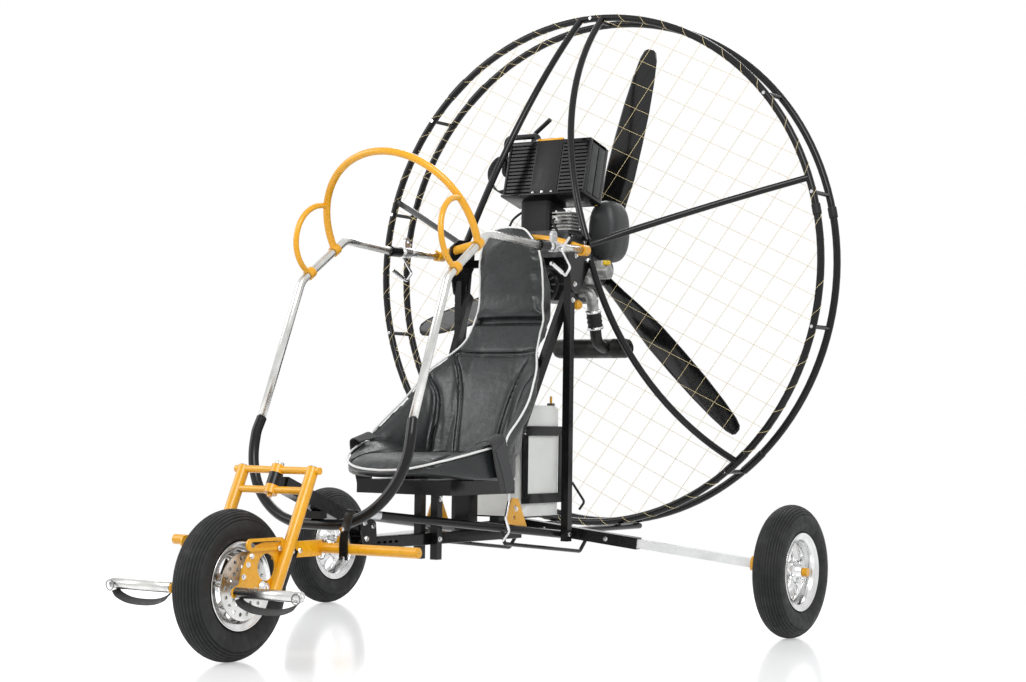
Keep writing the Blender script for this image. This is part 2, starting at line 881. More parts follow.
def bolt_tree() -> PatternTree:
    """Build the tree that sets a hexagon head on a washer at every point, along its aim."""
    tree = PatternTree("hexagon_bolts", Head_Radius="NodeSocketFloat", Head_Height="NodeSocketFloat",
                       Turn_Seed="NodeSocketInt")
    washer = tree.add("GeometryNodeMeshCylinder", Vertices=20, Radius=1.35, Depth=0.4)
    head = tree.add("GeometryNodeMeshCylinder", Vertices=6, Radius=1.0, Depth=1.0)
    lifted = tree.add("GeometryNodeTransform", Translation=(0.0, 0.0, 0.6))
    tree.join(head.outputs["Mesh"], lifted.inputs["Geometry"])
    whole = tree.add("GeometryNodeJoinGeometry")
    tree.join(washer.outputs["Mesh"], whole.inputs["Geometry"])
    tree.join(lifted.outputs["Geometry"], whole.inputs["Geometry"])
    aim = tree.add("GeometryNodeInputNamedAttribute", Name="aim")
    aim.data_type = "FLOAT_VECTOR"
    align = tree.add("FunctionNodeAlignRotationToVector")
    align.axis = "Z"
    tree.join(aim.outputs["Attribute"], align.inputs["Vector"])
    spin = tree.add("FunctionNodeRandomValue")
    spin.data_type = "FLOAT"
    spin.inputs[3].default_value = 6.28
    tree.join(tree.entry.outputs["Turn Seed"], spin.inputs["Seed"])
    turn = tree.add("ShaderNodeCombineXYZ")
    tree.join(spin.outputs[1], turn.inputs["Z"])
    rotate = tree.add("FunctionNodeRotateRotation")
    rotate.rotation_space = "LOCAL"
    tree.join(align.outputs["Rotation"], rotate.inputs["Rotation"])
    tree.join(turn.outputs["Vector"], rotate.inputs["Rotate By"])
    size = tree.add("ShaderNodeCombineXYZ")
    for axis, label in (("X", "Head Radius"), ("Y", "Head Radius"), ("Z", "Head Height")):
        tree.join(tree.entry.outputs[label], size.inputs[axis])
    copies = tree.add("GeometryNodeInstanceOnPoints")
    tree.join(tree.entry.outputs["Geometry"], copies.inputs["Points"])
    tree.join(whole.outputs["Geometry"], copies.inputs["Instance"])
    tree.join(rotate.outputs["Rotation"], copies.inputs["Rotation"])
    tree.join(size.outputs["Vector"], copies.inputs["Scale"])
    tree.close(copies.outputs["Instances"])
    return tree


def row_tree() -> PatternTree:
    """Build the tree that repeats its own geometry in a straight row."""
    tree = PatternTree("straight_row", Count="NodeSocketInt", Pitch="NodeSocketVector")
    line = tree.add("GeometryNodeMeshLine")
    tree.join(tree.entry.outputs["Count"], line.inputs["Count"])
    tree.join(tree.entry.outputs["Pitch"], line.inputs["Offset"])
    copies = tree.add("GeometryNodeInstanceOnPoints")
    tree.join(line.outputs["Mesh"], copies.inputs["Points"])
    tree.join(tree.entry.outputs["Geometry"], copies.inputs["Instance"])
    tree.close(copies.outputs["Instances"])
    return tree


def cord_tree() -> PatternTree:
    """Build the tree that gives every edge of a mesh the thickness of a cord."""
    tree = PatternTree("taut_cords", Cord_Radius="NodeSocketFloat")
    curve = tree.add("GeometryNodeMeshToCurve")
    tree.join(tree.entry.outputs["Geometry"], curve.inputs["Mesh"])
    section = tree.add("GeometryNodeCurvePrimitiveCircle", Resolution=6)
    tree.join(tree.entry.outputs["Cord Radius"], section.inputs["Radius"])
    skin = tree.add("GeometryNodeCurveToMesh", Fill_Caps=True)
    tree.join(curve.outputs["Curve"], skin.inputs["Curve"])
    tree.join(section.outputs["Curve"], skin.inputs["Profile Curve"])
    tree.close(skin.outputs["Mesh"])
    return tree


class Workshop:
    """The paints, the pattern trees, and the last step that hands a piece over."""

    def __init__(self, paints: dict[str, bpy.types.Material]) -> None:
        """Keep the paints and build every tree once."""
        self.paints = paints
        self.round = round_tree()
        self.bolts = bolt_tree()
        self.row = row_tree()
        self.cords = cord_tree()

    def hand_over(self, piece: bpy.types.Object, body: Body, slot: str, *nodes: str) -> None:
        """Mount a piece on its body.

        Args:
            piece: the finished piece.
            body: what it rides on.
            slot: the record's material slot that it takes its finish from.
            nodes: the CAD nodes that it stands for.
        """
        if nodes:
            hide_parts(*nodes)
        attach(piece, body.value)
        log.info("made %s with %d faces", piece.name, len(piece.data.polygons))


@dataclass
class Dresser:
    """A group of pieces, with short calls that make and mount them in named finishes."""

    shop: Workshop

    def turned(self, name: str, profile: Profile, centre: Vector, axis: Vector, finish: str,
               turns: int) -> bpy.types.Object:
        """Turn a closed profile in a named finish."""
        return lathe(name, profile, centre, axis, self.shop.paints[finish], turns)

    def piped(self, name: str, path: Sequence[Vector], radius: float | Sequence[float], finish: str,
              sides: int) -> bpy.types.Object:
        """Run a round tube in a named finish."""
        return tube(name, path, radius, self.shop.paints[finish], sides)

    def laid(self, name: str, path: Sequence[Vector], across: Vector, width: float, thickness: float,
             finish: str = "black_webbing") -> bpy.types.Object:
        """Lay a flat band in a named finish."""
        return band(name, path, across, width, thickness, self.shop.paints[finish])

    def assemble(self, name: str, pieces: Sequence[bpy.types.Object], body: Body, slot: str,
                 *nodes: str) -> None:
        """Join pieces and mount them as one."""
        self.shop.hand_over(join_pieces(name, pieces), body, slot, *nodes)

    def bolt_set(self, name: str, places: Sequence[tuple[Vector, Vector]], radius: float,
                 height: float) -> bpy.types.Object:
        """Set chrome bolt heads at places, each with the direction that it points in."""
        chrome = self.shop.paints["bright_chrome"]
        seed = mesh_object(name + "_points", [place for place, _ in places], [], chrome)
        aim = seed.data.attributes.new("aim", "FLOAT_VECTOR", "POINT")
        for row, (_, direction) in zip(aim.data, places):
            row.vector = direction
        return self.shop.bolts.grow(name, seed, Head_Radius=radius, Head_Height=height, Turn_Seed=7,
                                    Finish=chrome)


@dataclass
class RibbedTyres(Dresser):
    """The three tyres, with grooves round the tread and plain sidewalls."""

    outer_radius: float = 0.2
    half_width: float = 0.048
    bead_radius: float = 0.0985
    bead_half: float = 0.0327
    flange_radius: float = 0.1183
    flange_gap: float = 0.001
    groove_count: int = 13
    groove_depth: float = 0.0038
    tread_half_angle: float = 70.0
    side_half_angle: float = 140.0
    side_step: float = 6.5

    def side_angles(self, start: float, end: float) -> list[tuple[float, float]]:
        """Step along a plain sidewall between two angles, the last one left out."""
        count = math.ceil((end - start) / self.side_step)
        return [(start + self.side_step * i, 0.0) for i in range(count)]

    def profile(self) -> list[tuple[float, float]]:
        """Trace the tyre's section from bead to bead, groove by groove."""
        middle = self.outer_radius - self.half_width
        seat = self.flange_radius + self.flange_gap
        steps = self.side_angles(-self.side_half_angle, -self.tread_half_angle)
        pitch = 2 * self.tread_half_angle / self.groove_count
        for groove in range(self.groove_count):
            centre = -self.tread_half_angle + pitch * (groove + 0.5)
            for offset, depth in ((-0.5, 0.0), (-0.27, 0.0), (-0.16, 1.0), (0.16, 1.0), (0.27, 0.0)):
                steps.append((centre + offset * pitch, depth * self.groove_depth))
        steps += self.side_angles(self.tread_half_angle, self.side_half_angle)
        points = [(-self.bead_half, self.bead_radius), (-self.bead_half, seat)]
        for angle, sink in steps:
            radius = self.half_width - sink
            height = middle + radius * math.cos(math.radians(angle))
            if height > seat:
                points.append((radius * math.sin(math.radians(angle)), height))
        return points + [(self.bead_half, seat), (self.bead_half, self.bead_radius)]

    def build(self) -> None:
        """Make and mount the three tyres."""
        for side, (body, centre) in WHEELS.items():
            piece = self.turned(f"{side}_tyre_ribbed", self.profile(), centre, X_AXIS, "tyre_rubber", 160)
            self.shop.hand_over(piece, body, "tyre", f"{side}_tyre")


@dataclass
class FiveSpokeRims(Dresser):
    """The three polished cast rims: rolled flanges, a dished disc with five windows, and a hub."""

    bed_radius: float = 0.0978
    flange_radius: float = 0.1178
    flange_half: float = 0.0388
    wall: float = 0.0036
    hub_radius: float = 0.036
    hub_half: float = 0.0418
    bore: float = 0.0131
    spokes: int = 5
    disc_thickness: float = 0.012
    nut_circle: float = 0.029
    nut_seat: float = 0.021
    finish: str = "polished_rim_alloy"

    def barrel(self, centre: Vector) -> bpy.types.Object:
        """Turn the barrel with its two rolled flanges."""
        inner = self.bed_radius - self.wall
        half, lip = self.flange_half, self.flange_radius
        outer_side = [(half - 0.009, inner), (half - 0.004, inner + 0.006), (half - 0.0035, lip - 0.008),
                      (half - 0.001, lip - 0.004), (half, lip - 0.0018), (half - 0.0012, lip),
                      (half - 0.0035, lip - 0.001), (half - 0.0058, lip - 0.005),
                      (half - 0.0058, self.bed_radius)]
        profile = outer_side + [(-along, radius) for along, radius in reversed(outer_side)]
        return self.turned("barrel", profile, centre, X_AXIS, self.finish, 120)

    def hub(self, centre: Vector) -> bpy.types.Object:
        """Turn the hub with its stepped ends."""
        half, radius, bore = self.hub_half, self.hub_radius, self.bore
        profile = [(-half, bore), (-half, 0.019), (-half + 0.002, 0.021), (-0.024, 0.022), (-0.018, 0.03),
                   (-0.010, radius), (0.014, radius), (0.020, 0.03), (0.026, 0.022), (half - 0.002, 0.021),
                   (half, 0.019), (half, bore)]
        return self.turned("hub", profile, centre, X_AXIS, self.finish, 64)

    def spoke(self) -> bpy.types.Object:
        """Shape one spoke with its share of the disc's hub and rim zones."""
        share = math.pi / self.spokes
        start, end = self.hub_radius - 0.002, self.bed_radius - self.wall + 0.0005
        half = self.disc_thickness / 2
        rows, columns = 16, 8
        rings = []
        for row in range(rows + 1):
            t = row / rows
            radius = start + (end - start) * t
            waist = 1.0 - 0.62 * math.sin(math.pi * clamped((t - 0.06) / 0.84)) ** 0.55
            dish = 0.013 - 0.020 * t * t
            crown = 0.004 * math.sin(math.pi * t)
            upper, lower = [], []
            for column in range(columns + 1):
                u = 2 * column / columns - 1
                angle = share * waist * u
                lift = crown * (1 - u * u)
                rim_edge = 0.0018 if abs(u) == 1 else 0.0
                y, z = radius * math.sin(angle), radius * math.cos(angle)
                upper.append(Vector((dish + half + lift - rim_edge, y, z)))
                lower.append(Vector((dish - half - lift * 0.5 + rim_edge, y, z)))
            rings.append(upper + list(reversed(lower)))
        return loft("spoke_seed", rings, self.shop.paints[self.finish])

    def build(self) -> None:
        """Make and mount the three rims."""
        for side, (body, centre) in WHEELS.items():
            disc = self.shop.round.grow(f"{side}_spokes", self.spoke(), Count=self.spokes, Centre=centre,
                                        Finish=self.shop.paints[self.finish])
            rim = join_pieces(f"{side}_rim_cast", [self.barrel(centre), self.hub(centre), disc])
            shade_smooth(rim)
            self.shop.hand_over(rim, body, "polished_rim", f"{side}_rim")
            places = []
            for k in range(self.spokes):
                angle = 2 * math.pi * (k + 0.5) / self.spokes
                places.append((centre + Vector((self.nut_seat, self.nut_circle * math.sin(angle),
                                                self.nut_circle * math.cos(angle))), X_AXIS))
            nuts = self.bolt_set(f"{side}_hub_nuts", places, 0.0045, 0.005)
            foot = centre + Vector((0.030, 0.0, -self.bed_radius + self.wall))
            path = [foot, foot + Vector((0.004, 0, 0.014)), foot + Vector((0.010, 0, 0.026))]
            valve = self.piped(f"{side}_valve", path, [0.004, 0.0035, 0.0032], "dark_steel", 10)
            self.assemble(f"{side}_hub_hardware", [nuts, valve], body, "chrome")


def clamped(value: float) -> float:
    """Keep a value between 0 and 1."""
    return min(max(value, 0.0), 1.0)


def eased(share: float) -> float:
    """Soften both ends of a run from 0 to 1."""
    return share * share * (3 - 2 * share)


def read_table(table: Profile, height: float) -> float:
    """Read a (height, value) table between its rows."""
    return float(np.interp(height, [row[0] for row in table], [row[1] for row in table]))


def mirrored(point: Vector) -> Vector:
    """Give a point's twin on the other side of the trike's middle plane."""
    return Vector((-point.x, point.y, point.z))


def settle(piece: bpy.types.Object) -> None:
    """Turn a piece's modifiers into its mesh."""
    depsgraph = bpy.context.evaluated_depsgraph_get()
    mesh = bpy.data.meshes.new_from_object(piece.evaluated_get(depsgraph))
    old = piece.data
    piece.modifiers.clear()
    piece.data = mesh
    bpy.data.meshes.remove(old)


def read_points(piece: bpy.types.Object) -> np.ndarray:
    """Read a mesh's points as rows."""
    flat = np.empty(len(piece.data.vertices) * 3)
    piece.data.vertices.foreach_get("co", flat)
    return flat.reshape(-1, 3)


def write_points(piece: bpy.types.Object, points: np.ndarray) -> None:
    """Write a mesh's points."""
    piece.data.vertices.foreach_set("co", points.ravel())
    piece.data.update()


def line_distance(points: np.ndarray, lines: Sequence[Sequence[Vector]]) -> np.ndarray:
    """Give each point's distance to the nearest line."""
    near = np.full(len(points), 9.0)
    for line in lines:
        for first, second in zip(line, line[1:]):
            start, run = np.array(first), np.array(second - first)
            share = np.clip((points - start) @ run / max(run @ run, 1e-12), 0.0, 1.0)
            near = np.minimum(near, np.linalg.norm(points - start - share[:, None] * run, axis=1))
    return near


def press(piece: bpy.types.Object, lines: Sequence[Sequence[Vector]], facing: Vector, depth: float,
          reach: float) -> None:
    """Press lines into the side of a cushion that faces one way.

    Args:
        piece: the cushion.
        lines: the sewn lines, which lie near that side.
        facing: the direction that the side faces.
        depth: how deep the middle of a line goes.
        reach: how far from a line the dip dies away.
    """
    points = read_points(piece)
    normals = np.array([tuple(vertex.normal) for vertex in piece.data.vertices])
    flatten = np.eye(3) - np.outer(facing, facing)
    flat_lines = [[Vector(flatten @ np.array(spot)) for spot in line] for line in lines]
    near = line_distance(points @ flatten, flat_lines)
    shown = np.clip((normals @ np.array(facing) - 0.15) / 0.3, 0.0, 1.0)
    push = depth * np.exp(-(near / reach) ** 2) * shown
    write_points(piece, points - normals * push[:, None])


@dataclass
class BucketSeat(Dresser):
    """The leather seat: a pan, and a back that runs up into the headrest, both with white piping."""

    cap: float = 0.010
    voxel: float = 0.006
    quick_voxel: float = 0.009
    frames: int = 20
    piping_radius: float = 0.0034
    seam_depth: float = 0.0068
    seam_reach: float = 0.0034
    fold_depth: float = 0.017
    fold_reach: float = 0.0085
    skirt: float = 0.004
    crown: float = 0.006
    wing_start: float = 0.42
    fold_height: float = 0.957
    overhang: float = 0.011
    overhang_start: float = 0.014
    overhang_length: float = 0.16
    sheet: float = 0.003
    least_depth: float = 0.016
    corner_start: float = 0.90
    corner_blend: float = 0.06
    corner_slice: float = 0.007
    slope_start: float = 1.17
    slope_blend: float = 0.08
    stand_off: float = 0.0012
    padding: dict = field(default_factory=lambda: {
        "use_pressure": True, "uniform_pressure_force": 4.0, "vertex_group_mass": "sewn", "quality": 4,
        "tension_stiffness": 12, "compression_stiffness": 12, "bending_stiffness": 1.5})
    edge: Profile = ((0.5385, -0.612), (0.588, -0.608), (0.651, -0.520), (0.704, -0.449), (0.795, -0.370),
                     (0.885, -0.258), (0.967, -0.209), (1.040, -0.208), (1.250, -0.231))
    middle: Profile = ((0.5385, -0.400), (0.640, -0.370), (0.775, -0.322), (0.885, -0.262), (0.967, -0.212),
                       (1.040, -0.211), (1.250, -0.234))
    rear: Profile = ((0.5385, -0.350), (0.640, -0.330), (0.695, -0.323), (0.775, -0.276), (0.880, -0.209),
                     (0.967, -0.168), (1.100, -0.171), (1.190, -0.197), (1.262, -0.208))
    side_rear: Profile = ((0.5385, -0.552), (0.588, -0.548), (0.651, -0.468), (0.704, -0.406),
                          (0.795, -0.349), (0.850, -0.290), (0.900, -0.205), (0.967, -0.170),
                          (1.100, -0.172), (1.190, -0.198), (1.262, -0.212))
    width: Profile = ((0.5385, 0.251), (0.590, 0.251), (0.651, 0.246), (0.704, 0.231), (0.797, 0.204),
                      (0.861, 0.150), (0.900, 0.134), (0.967, 0.127), (1.060, 0.127), (1.150, 0.121),
                      (1.200, 0.106), (1.235, 0.080), (1.252, 0.056), (1.262, 0.026))
    pan_edge: Profile = ((0.0, -0.884), (0.058, -0.879), (0.110, -0.864), (0.156, -0.832), (0.196, -0.778),
                         (0.228, -0.705), (0.248, -0.635), (0.251, -0.560), (0.232, -0.520),
                         (0.180, -0.506), (0.120, -0.500), (0.0, -0.500))

    def front(self, x: float, height: float) -> float:
        """Give the back's front surface at a place across and a height."""
        share = min(abs(x) / read_table(self.width, height), 1.0)
        rise = eased(max(share - self.wing_start, 0.0) / (1.0 - self.wing_start))
        middle = read_table(self.middle, height)
        crown = self.crown * (1 - share * share)
        over = height - self.fold_height
        if over > 0.0:
            fade = max(1.0 - over / self.overhang_length, 0.0)
            crown += self.overhang * min(over / self.overhang_start, 1.0) * fade
        return middle + (read_table(self.edge, height) - middle) * rise - crown

    def back_shell(self) -> bpy.types.Object:
        """Skin the back's closed base form."""
        rings = []
        low, high = self.width[0][0], self.width[-1][0]
        steps = [2 * i / 24 - 1 for i in range(25)]
        for height in [*np.linspace(low, 1.19, 55), *np.linspace(1.192, high, 18)]:
            half = read_table(self.width, height) + self.skirt
            ring = [station(half * step, self.front(half * step, height) + self.sheet, height)
                    for step in steps]
            for step in steps:
                x = -half * step
                share = eased(max(abs(step) - 0.5, 0.0) / 0.5)
                middle = read_table(self.rear, height)
                y = middle + (read_table(self.side_rear, height) - middle) * share
                ring.append(station(x * 0.985, max(y, self.front(x, height) + self.least_depth), height))
            rings.append(ring)
        return loft("seat_back_cushion", rings, self.shop.paints["seat_leather"])

    def on_back(self, spots: Sequence[tuple[float, float]], side: int = 1, steps: int = 24) -> list[Vector]:
        """Lay a smooth line over the back's front through (across, height) spots."""
        return smooth_line([station(side * x, self.front(side * x, z), z) for x, z in spots], steps)

    def back_seams(self) -> list[list[Vector]]:
        """Lay the back's sewn lines: four that fan down it and one across."""
        fans = (((0.150, 0.852), (0.116, 0.790), (0.092, 0.690), (0.076, 0.550)),
                ((0.200, 0.785), (0.160, 0.730), (0.146, 0.650), (0.142, 0.550)))
        lines = [self.on_back(spots, side, 20) for side in SIDES for spots in fans]
        return [*lines, self.on_back(((-0.150, 0.857), (-0.07, 0.850), (0.07, 0.850), (0.150, 0.857)))]

    def fold(self) -> list[Vector]:
        """Lay the deep fold under the headrest."""
        height = self.fold_height - 0.001
        return self.on_back([(x, height) for x in (-0.124, -0.05, 0.05, 0.124)])

    @staticmethod
    def pan_height(x: float, y: float) -> float:
        """Give the pan's top surface at a place: a round front lip, and flanks that rise behind it."""
        lip = clamped((y + 0.895) / 0.13)
        flank = clamped((abs(x) - 0.13) / 0.10)
        along = clamped((y + 0.80) / 0.17)
        return 0.497 + 0.042 * math.sin(lip * math.pi / 2) + 0.040 * eased(flank) * along

    @staticmethod
    def under_lift(y: float | np.ndarray) -> np.ndarray:
        """Give how far the pan's underside rises towards its front lip."""
        return 0.018 * np.clip((-0.70 - y) / 0.15, 0.0, 1.0)

    def pan_loop(self) -> list[Vector]:
        """Give the pan's outline as a closed ring, without heights."""
        half = smooth_line([Vector((x, y, 0.0)) for x, y in self.pan_edge], 5)
        return half + [mirrored(p) for p in reversed(half[1:-1])]

    def pan_shell(self) -> bpy.types.Object:
        """Skin the pan's closed base form."""
        loop = self.pan_loop()
        middle = Vector((0.0, -0.68, 0.0))
        rings = []
        for share, drop in ((0.05, 0.0), (0.35, 0.0), (0.65, 0.0), (0.85, 0.001), (0.95, 0.005),
                            (0.992, 0.014)):
            ring = [middle + (p - middle) * share for p in loop]
            rings.append([station(p.x, p.y, self.pan_height(p.x, p.y) - self.sheet - drop) for p in ring])
        for share, height in ((0.99, 0.474), (0.96, 0.467), (0.6, 0.465), (0.05, 0.465)):
            ring = [middle + (p - middle) * share for p in loop]
            rings.append([station(p.x, p.y, height + float(self.under_lift(p.y))) for p in ring])
        return loft("seat_pan_cushion", rings, self.shop.paints["seat_leather"])

    def pan_seams(self) -> list[list[Vector]]:
        """Lay the pan's sewn lines, one on each side."""
        spots = ((0.150, -0.865), (0.150, -0.760), (0.140, -0.640), (0.130, -0.520))
        return [smooth_line([station(side * x, y, self.pan_height(side * x, y)) for x, y in spots], 20)
                for side in SIDES]

    def swell(self, piece: bpy.types.Object, held: np.ndarray) -> None:
        """Blow a base form up as cloth, with some of its points held and the others capped.

        Args:
            piece: the base form.
            held: true for each point that stays where it is.
        """
        scene = bpy.context.scene
        points = read_points(piece)
        group = piece.vertex_groups.new(name="sewn")
        for index in np.nonzero(held)[0]:
            group.add([int(index)], 1.0, "REPLACE")
        cloth = piece.modifiers.new("padding", "CLOTH")
        for setting, value in self.padding.items():
            setattr(cloth.settings, setting, value)
        cloth.settings.effector_weights.gravity = 0.0
        cloth.point_cache.frame_start = 1
        cloth.point_cache.frame_end = self.frames
        for frame_number in range(1, self.frames + 1):
            scene.frame_set(frame_number)
        settle(piece)
        scene.frame_set(1)
        moved = read_points(piece) - points
        length = np.linalg.norm(moved, axis=1, keepdims=True)
        write_points(piece, points + moved * np.minimum(1.0, self.cap / np.maximum(length, 1e-9)))

    def puffed(self, piece: bpy.types.Object, seams: Sequence[Sequence[Vector]],
               folds: Sequence[Sequence[Vector]], facing: Vector,
               rest: Callable[[np.ndarray], np.ndarray]) -> bpy.types.Object:
        """Swell a base form between its seams, then press the seams and folds in.

        Args:
            piece: the closed base form.
            seams: the lines that stay down.
            folds: deeper and wider lines, which stay down too.
            facing: the direction that the sewn side faces.
            rest: which points lie on the frame and stay flat, as true or false for each point.

        Returns:
            The cushion.
        """
        remesh = piece.modifiers.new("even", "REMESH")
        remesh.mode = "VOXEL"
        remesh.voxel_size = self.voxel
        settle(piece)
        points = read_points(piece)
        near = line_distance(points, [*seams, *folds])
        self.swell(piece, (near < self.voxel * 1.2) | rest(points))
        subdivision = piece.modifiers.new("finer", "SUBSURF")
        subdivision.levels = 1
        subdivision.render_levels = subdivision.levels
        settle(piece)
        press(piece, seams, facing, self.seam_depth, self.seam_reach)
        press(piece, seams, facing, self.seam_depth, self.seam_reach * 3.0)
        if folds:
            press(piece, folds, facing, self.fold_depth, self.fold_reach)
        shade_smooth(piece)
        return piece

    def sewn_edge(self, points: np.ndarray, height: float) -> Vector:
        """Find where the piping is sewn on, at the left edge.

        It follows the tables below, and the finished headrest's own corner above.

        Args:
            points: the finished back's points.
            height: the height of the place.

        Returns:
            The place.
        """
        drawn = station(read_table(self.width, height) + 0.001, read_table(self.edge, height) - 0.001,
                        height)
        share = clamped((height - self.corner_start) / self.corner_blend)
        if share == 0.0:
            return drawn
        slope = clamped((height - self.slope_start) / self.slope_blend)
        outward = np.array((0.8 - 0.3 * slope, -0.6, 0.75 * slope))
        around = points[np.abs(points[:, 2] - drawn.z) < self.corner_slice]
        place = around[np.argmax(around @ outward)] + outward * self.stand_off
        return drawn.lerp(Vector((float(place[0]), float(place[1]), drawn.z)), share)

    def back_piping(self, back: bpy.types.Object) -> list[Vector]:
        """Lead the piping's line up the back's right edge, over the headrest and down the left."""
        points = read_points(back)
        raw = [self.sewn_edge(points, z) for z in np.linspace(0.552, 1.2520, 72)]
        around = [raw[max(i - 2, 0):i + 3] for i in range(len(raw))]
        edge = [sum(spots, Vector()) / len(spots) for spots in around]
        top = points[np.argmax(points[:, 2] - 0.5 * points[:, 1] - 2.0 * np.abs(points[:, 0]))]
        crown = Vector((0.0, float(top[1]) - 0.001, float(top[2]) + 0.0015))
        end = edge[-1]
        shoulder = Vector((end.x * 0.6, (end.y + crown.y) / 2, end.z * 0.25 + crown.z * 0.75))
        half = edge[:-6] + smooth_line([edge[-6], end, shoulder, crown], 16)[:-1]
        return half + [crown] + [mirrored(p) for p in reversed(half)]

    def pan_piping(self) -> list[Vector]:
        """Lead the piping's line round the front of the pan."""
        front_half = [p for p in self.pan_loop() if p.y < -0.60]
        right = sorted((p for p in front_half if p.x >= 0), key=lambda p: -p.y)
        left = [mirrored(p) for p in reversed(right) if p.x > 0]
        return [station(p.x * 1.006, p.y * 1.002, self.pan_height(p.x, p.y) - 0.010) for p in right + left]

    def build(self) -> None:
        """Make the cushions and the piping."""
        low_back = self.width[0][0] + 0.010
        back = self.puffed(self.back_shell(), self.back_seams(), [self.fold()], -Y_AXIS,
                           lambda p: p[:, 2] < low_back)
        self.shop.hand_over(back, Body.FRAME, "leather", "seat_back")
        pan = self.puffed(self.pan_shell(), self.pan_seams(), [], Z_AXIS,
                          lambda p: p[:, 2] < 0.472 + self.under_lift(p[:, 1] - REAR_Y))
        self.shop.hand_over(pan, Body.FRAME, "leather", "seat_pan")
        for name, line in (("seat_back_piping", self.back_piping(back)),
                           ("seat_pan_piping", self.pan_piping())):
            piece = self.piped(name, line, self.piping_radius, "white_piping", 10)
            self.shop.hand_over(piece, Body.FRAME, "leather")


@dataclass
class Propeller(Dresser):
    """Three smooth twisted blades on a round hub with a ring of bolts."""

    centre: Vector = field(default_factory=lambda: station(0.0, 0.325, 1.157))
    phase: float = 74.8
    blades: int = 3
    facets: int = 28
    bolt_circle: float = 0.036
    hub_half: float = 0.022
    sections: tuple = (
        (0.030, 0.052, 0.032, 32.0), (0.080, 0.056, 0.029, 30.0), (0.140, 0.068, 0.025, 26.0),
        (0.220, 0.088, 0.021, 21.5), (0.330, 0.104, 0.0175, 17.0), (0.450, 0.102, 0.015, 14.5),
        (0.560, 0.095, 0.013, 12.0), (0.660, 0.080, 0.0105, 10.0), (0.730, 0.062, 0.008, 8.5),
        (0.756, 0.044, 0.006, 8.0), (0.764, 0.022, 0.004, 8.0))

    def blade(self, number: int) -> bpy.types.Object:
        """Loft one blade from aerofoil sections of (radius, width, thickness, twist in degrees)."""
        lean = self.phase + 360.0 / self.blades * number
        outward, across = ray(lean), ray(lean - 90.0)
        rings = []
        for radius, width, thickness, twist in self.sections:
            pitch = math.radians(twist)
            chord = across * math.cos(pitch) + Y_AXIS * math.sin(pitch)
            lift = outward.cross(chord).normalized()
            ring = []
            for i in range(self.facets):
                angle = 2 * math.pi * i / self.facets
                along = math.cos(angle)
                thick = math.sin(angle) * (0.62 + 0.38 * (along + 1) / 2)
                ring.append(self.centre + outward * radius + chord * (along * width / 2)
                            + lift * (thick * thickness / 2))
            rings.append(ring)
        return loft(f"blade_{number}", rings, self.shop.paints["blade_black"])

    def build(self) -> None:
        """Make and mount the propeller."""
        half = self.hub_half
        profile = [(-half, 0.0155), (-half, 0.050), (-0.019, 0.054), (0.019, 0.054), (half, 0.050),
                   (half, 0.0155)]
        hub = self.turned("prop_hub", profile, self.centre, Y_AXIS, "black_powder", 64)
        piece = join_pieces("propeller_blades", [self.blade(k) for k in range(self.blades)] + [hub])
        shade_smooth(piece)
        self.shop.hand_over(piece, Body.PROPELLER, "prop_carbon", "propeller")
        places = [(self.centre + ray(30 + 60 * k) * self.bolt_circle + Y_AXIS * (face * (half + 0.0005)),
                   Y_AXIS * face)
                  for face in SIDES for k in range(6)]
        self.shop.hand_over(self.bolt_set("prop_bolts", places, 0.0058, 0.005), Body.PROPELLER, "chrome")


